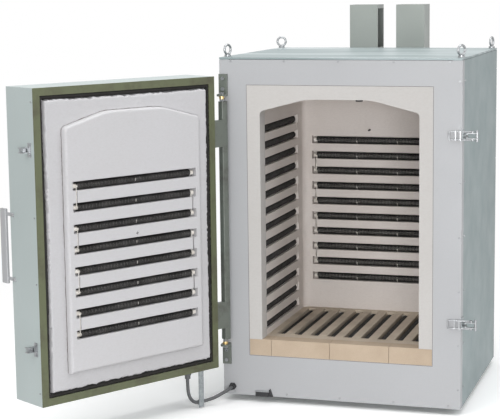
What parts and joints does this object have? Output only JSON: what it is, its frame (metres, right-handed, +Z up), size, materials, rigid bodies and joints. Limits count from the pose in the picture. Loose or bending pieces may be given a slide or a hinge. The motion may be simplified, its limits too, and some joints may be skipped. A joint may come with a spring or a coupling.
{
  "type": "muffle furnace",
  "caption": "Front-loading muffle furnace: sheet-steel cabinet with brick-lined arched chamber, coils in grooves, side-hinged plug door with toggle latches and rear air ducts",
  "frame": {"origin": "Bottom centre of the whole furnace as it stands with the door open, on the floor under the feet", "axes": "+Z up, +X to the right seen from the front, +Y from the front to the back of the cabinet"},
  "size_m": [1.6106, 1.7556, 1.532],
  "materials": {
    "silver_paint": "silver-grey hammered paint",
    "grey_paint": "grey-green hammered paint",
    "duct_paint": "light grey-green paint",
    "door_paint": "light grey-green hammered paint",
    "rim_paint": "heat-stained olive grey paint",
    "hinge_paint": "dark grey-green paint",
    "zinc_steel": "zinc-plated",
    "element_wire": "oxidised resistance wire",
    "brass": "turned, dull",
    "black_rubber": "matt",
    "black_plastic": "moulded, matt",
    "conduit_sleeve": "ribbed grey sleeve",
    "insulating_brick": "porous light firebrick",
    "firebrick": "dense pressed firebrick",
    "white_ceramic": "unglazed ceramic",
    "fibre_board": "vacuum-formed ceramic fibre",
    "fibre_blanket": "ceramic fibre"
  },
  "bodies": {
    "cabinet": {"backing_insulation": "fibre_blanket", "bottom_pan": "grey_paint", "bracket_bolts": "zinc_steel", "cable_glands": "black_plastic", "coil_tubes": "white_ceramic", "conduit": "conduit_sleeve", "corner_posts": "grey_paint", "door_switch": "black_plastic", "feet": "black_rubber", "flue_sleeve": "white_ceramic", "front_insulation": "fibre_blanket", "front_panel": "silver_paint", "hearth_bricks": "insulating_brick", "hearth_coils": "element_wire", "hinge_brackets": "hinge_paint", "latch_bases": "zinc_steel", "latch_pivot_pins": "zinc_steel", "left_wall_bricks": "insulating_brick", "left_wall_coils": "element_wire", "lifting_eyebolts": "zinc_steel", "mouth_collar": "fibre_board", "panel_screws": "zinc_steel", "pivot_bolts": "zinc_steel", "pivot_washers": "brass", "rear_duct_left": "duct_paint", "rear_duct_right": "duct_paint", "rear_panel": "grey_paint", "rear_wall_bricks": "insulating_brick", "rear_wall_coils": "element_wire", "right_wall_bricks": "insulating_brick", "right_wall_coils": "element_wire", "roof_panel": "grey_paint", "side_panel_left": "grey_paint", "side_panel_right": "grey_paint", "sill_bricks": "firebrick", "terminal_cover": "grey_paint", "terminal_strips": "white_ceramic", "thermocouple": "white_ceramic", "vault_bricks": "insulating_brick"},
    "door": {"door_casing": "door_paint", "door_rim": "rim_paint", "door_insulation": "fibre_blanket", "door_lining": "fibre_blanket", "door_plug": "insulating_brick", "door_coils": "element_wire", "door_coil_tubes": "white_ceramic", "door_handle": "silver_paint", "door_screws": "zinc_steel", "keepers": "zinc_steel", "hinge_bar": "hinge_paint", "hinge_lugs": "hinge_paint", "conduit_strap": "zinc_steel", "door_gland": "black_plastic"},
    "lever_upper": {"latch_lever_upper": "zinc_steel", "latch_link_pins_upper": "zinc_steel"},
    "bail_upper": {"latch_bail_upper": "zinc_steel"},
    "lever_lower": {"latch_lever_lower": "zinc_steel", "latch_link_pins_lower": "zinc_steel"},
    "bail_lower": {"latch_bail_lower": "zinc_steel"}
  },
  "joints": [
    {"name": "door_swing", "type": "hinge", "parent": "cabinet", "child": "door", "pos_m": [-0.18165, -0.11422, 0.7], "axis": [0, 0, 1], "range_deg": [-14, 121], "deforming": ["conduit"]},
    {"name": "latch_upper_turn", "type": "hinge", "parent": "cabinet", "child": "lever_upper", "pos_m": [0.76235, -0.09822, 1.066], "axis": [0, 0, 1], "range_deg": [0, 90]},
    {"name": "bail_upper_turn", "type": "hinge", "parent": "lever_upper", "child": "bail_upper", "pos_m": [0.78235, -0.09822, 1.066], "axis": [0, 0, 1], "range_deg": [-42.45, 0]},
    {"name": "latch_lower_turn", "type": "hinge", "parent": "cabinet", "child": "lever_lower", "pos_m": [0.76235, -0.09822, 0.356], "axis": [0, 0, 1], "range_deg": [0, 90]},
    {"name": "bail_lower_turn", "type": "hinge", "parent": "lever_lower", "child": "bail_lower", "pos_m": [0.78235, -0.09822, 0.356], "axis": [0, 0, 1], "range_deg": [-42.45, 0]}
  ],
  "couplings": [
    {"joint": "bail_upper_turn", "follows": "latch_upper_turn", "ratio": -0.47171},
    {"joint": "bail_lower_turn", "follows": "latch_lower_turn", "ratio": -0.47171}
  ]
}
